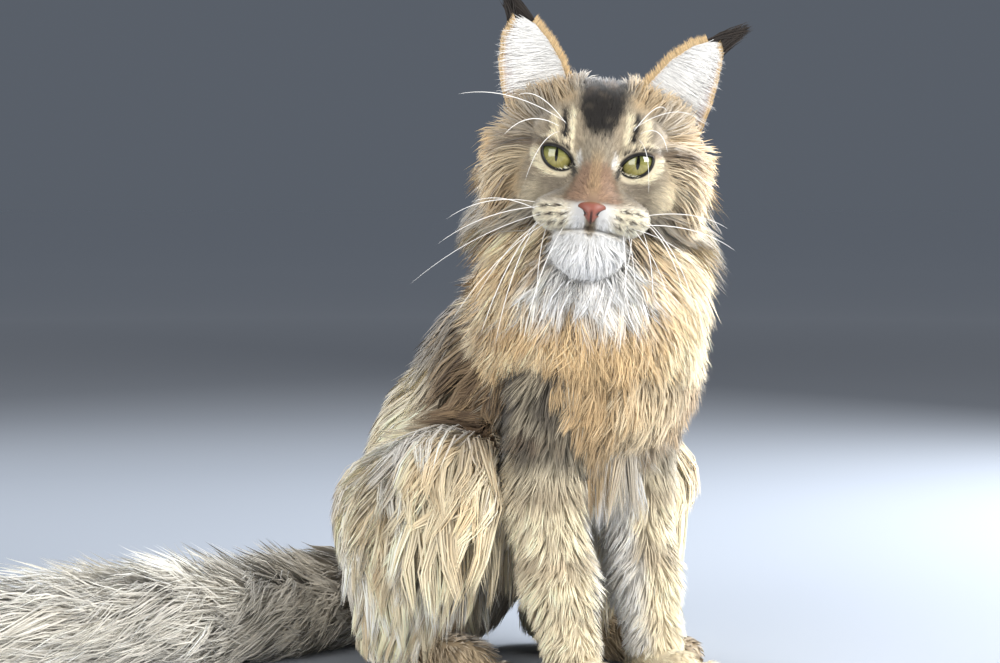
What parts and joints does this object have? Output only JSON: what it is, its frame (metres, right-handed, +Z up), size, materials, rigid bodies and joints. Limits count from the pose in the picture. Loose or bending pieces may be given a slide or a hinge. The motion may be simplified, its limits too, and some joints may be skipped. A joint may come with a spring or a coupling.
{
  "type": "seated long-haired cat figure",
  "caption": "Life-size still figure of a seated long-haired cat with tufted ears, a full ruff and a long plumed tail, its head turned to its right.",
  "frame": {"origin": "centre of the bounding box, on the floor", "axes": "+Z up, -Y the way the body and forelegs face, +X the cat's left"},
  "size_m": [0.5118, 0.3644, 0.4393],
  "materials": {
    "coat_tan": "matte",
    "coat_grey": "matte",
    "coat_cream": "matte",
    "coat_pale": "matte",
    "eye": "gloss"
  },
  "bodies": {
    "root": {"head": "coat_tan", "neck": "coat_tan", "torso_front": "coat_tan", "torso_rear": "coat_grey", "ear_left": "coat_pale", "ear_right": "coat_pale", "eye_left": "eye", "eye_right": "eye", "foreleg_left": "coat_cream", "foreleg_right": "coat_cream", "forepaw_left": "coat_cream", "forepaw_right": "coat_cream", "hindleg_left": "coat_cream", "hindleg_right": "coat_cream", "hindfoot_left": "coat_grey", "hindfoot_right": "coat_grey", "tail_base": "coat_pale", "tail_middle": "coat_pale", "tail_tip": "coat_pale"}
  },
  "joints": []
}
